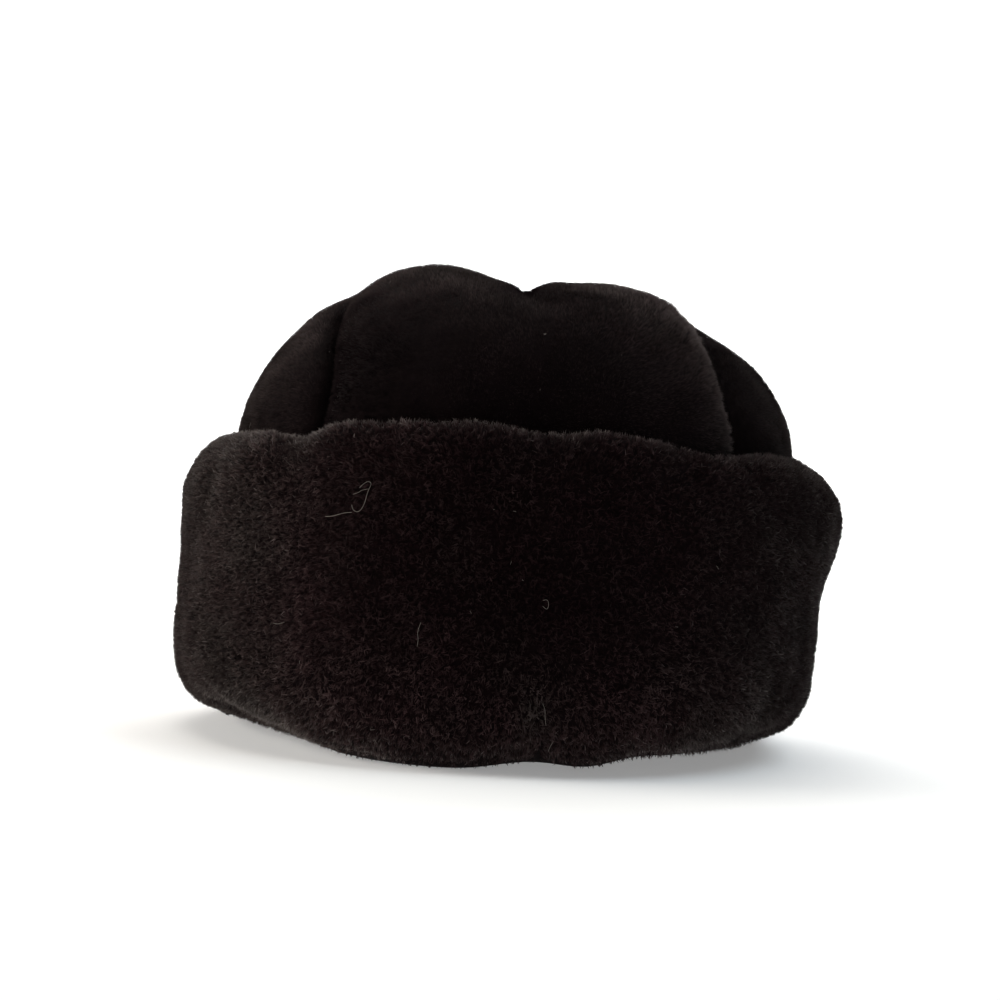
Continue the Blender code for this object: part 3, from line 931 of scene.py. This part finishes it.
def paper_material():
    """Pale paper that, to the camera, fades well away from the hat into the white round it."""
    material, tree, shader = start_material("paper")
    set_inputs(shader, {"Base Color": (0.88, 0.88, 0.88, 1), "Roughness": 0.9, "Specular IOR Level": 0.1,
                        "Emission Color": (1, 1, 1, 1)})
    glow = new_node(tree, "ShaderNodeMix")
    glow.inputs["A"].default_value = PAPER_GLOW[0]
    place = new_node(tree, "ShaderNodeTexCoord")
    away = new_node(tree, "ShaderNodeVectorMath", operation="LENGTH")
    fade = range_node(tree, PAPER_GLOW_FROM, PAPER_GLOW, interpolation_type="SMOOTHSTEP")
    seen = new_node(tree, "ShaderNodeLightPath")
    link = tree.links.new
    link(place.outputs["Object"], away.inputs[0])
    link(away.outputs["Value"], fade.inputs["Value"])
    link(fade.outputs["Result"], glow.inputs["B"])
    link(seen.outputs["Is Camera Ray"], glow.inputs["Factor"])
    link(glow.outputs["Result"], shader.inputs["Emission Strength"])
    return material


def lint_material():
    """Undyed fluff, off-white and a little uneven."""
    material, tree, shader = start_material("lint_fluff")
    place = new_node(tree, "ShaderNodeTexCoord")
    patches = new_node(tree, "ShaderNodeTexNoise")
    patches.inputs["Scale"].default_value = 900
    shade = new_node(tree, "ShaderNodeMix", data_type="RGBA")
    set_inputs(shade, {"A": FLUFF[0], "B": FLUFF[1]})
    tree.links.new(place.outputs["Object"], patches.inputs["Vector"])
    tree.links.new(patches.outputs["Fac"], shade.inputs["Factor"])
    tree.links.new(shade.outputs["Result"], shader.inputs["Base Color"])
    shader.inputs["Roughness"].default_value = 0.9
    return material


# Camera and studio

def add_camera():
    """The photograph's view: level with the cuff, with the picture turned a little clockwise."""
    camera = bpy.data.objects.new("camera", bpy.data.cameras.new("camera"))
    camera.data.lens = LENS
    camera.data.sensor_width = SENSOR
    camera.data.clip_start = 10 * MM
    bpy.context.scene.collection.objects.link(camera)
    camera.location = EYE
    aim = (Vector(TARGET) - Vector(EYE)).to_track_quat("-Z", "Y").to_matrix()
    camera.rotation_euler = (aim @ Matrix.Rotation(ROLL, 3, "Z")).to_euler()
    bpy.context.scene.camera = camera
    bpy.context.view_layer.update()
    return camera


def add_lamp(lamp):
    light = bpy.data.lights.new(lamp.name, "AREA")
    light.color = lamp.colour
    light.energy = lamp.power
    light.size = lamp.size
    holder = bpy.data.objects.new(lamp.name, light)
    bpy.context.scene.collection.objects.link(holder)
    holder.location = lamp.place
    holder.rotation_euler = (Vector(lamp.aim) - Vector(lamp.place)).to_track_quat("-Z", "Y").to_euler()
    holder.visible_camera = False


def add_world():
    """Dim light all round, brighter from behind the hat, that the camera itself sees as white."""
    world = bpy.data.worlds.new("studio")
    bpy.context.scene.world = world
    world.use_nodes = True
    tree = world.node_tree
    place = new_node(tree, "ShaderNodeTexCoord")
    split = new_node(tree, "ShaderNodeSeparateXYZ")
    depth = range_node(tree, WORLD_LIGHT_FROM, WORLD_LIGHT)
    seen = new_node(tree, "ShaderNodeLightPath")
    strength = new_node(tree, "ShaderNodeMix")
    strength.inputs["B"].default_value = WORLD_SEEN
    link = tree.links.new
    link(place.outputs["Generated"], split.inputs[0])
    link(split.outputs["Y"], depth.inputs["Value"])
    link(seen.outputs["Is Camera Ray"], strength.inputs["Factor"])
    link(depth.outputs["Result"], strength.inputs["A"])
    link(strength.outputs["Result"], tree.nodes["Background"].inputs["Strength"])


def add_paper():
    """One sheet of paper under the hat, which bends up behind it."""
    deselect_all()
    bpy.ops.mesh.primitive_plane_add(size=PAPER_SIDE, location=(0, 0, 0))
    floor = bpy.context.active_object
    floor.name = "paper_sweep"
    bpy.ops.object.mode_set(mode="EDIT")
    bpy.ops.mesh.select_all(action="DESELECT")
    bpy.ops.object.mode_set(mode="OBJECT")
    for edge in floor.data.edges:
        edge.select = all(floor.data.vertices[k].co.y > PAPER_BACK_FROM for k in edge.vertices)
    bpy.ops.object.mode_set(mode="EDIT")
    bpy.ops.mesh.extrude_region_move(TRANSFORM_OT_translate={"value": (0, 0, PAPER_RISE)})
    bpy.ops.object.mode_set(mode="OBJECT")
    bend = floor.modifiers.new("bend", "BEVEL")
    bend.width = PAPER_BEND
    bend.segments = 16
    bpy.ops.object.modifier_apply(modifier=bend.name)
    bpy.ops.object.shade_smooth()
    floor.data.materials.append(paper_material())


# The hat, from its pelts outwards, and its studio

camera = add_camera()
mottle = wool_mottle_group()
under_wool = pelt_material("under_wool", mottle, UNDER_WOOL)
hide = pelt_material("hide", mottle, HIDE)
crown_pile = pile_material("crown_pile", mottle, CROWN_DYE)
cuff_pile = pile_material("cuff_pile", mottle, CUFF_DYE)
pelts = {}
for node in CROWN_NODES:
    pelts[node] = make_pelt(node, CROWN_SKIN, under_wool, hide)
pelts["cuff"] = make_pelt("cuff", CUFF_SKIN, under_wool, hide)
seams = {"cuff": np.zeros((len(pelts["cuff"].data.vertices), 4))}
for node in CROWN_NODES:
    seams[node] = seams_beside(pelts[node], [pelts[other] for other in CROWN_NODES if other != node])
rooted = []
for pile in PILES:
    on_cuff = pile.node == "cuff"
    fleece = CUFF_FLEECE if on_cuff else CROWN_FLEECE
    material = cuff_pile if on_cuff else crown_pile
    rooted.append(grow_pile(pile, pelts[pile.node], seams[pile.node], fleece, material))
add_lint(camera, pelts, np.concatenate(rooted), lint_material())
bpy.context.scene.view_settings.view_transform = "Standard"
add_world()
for lamp in LAMPS:
    add_lamp(lamp)
add_paper()
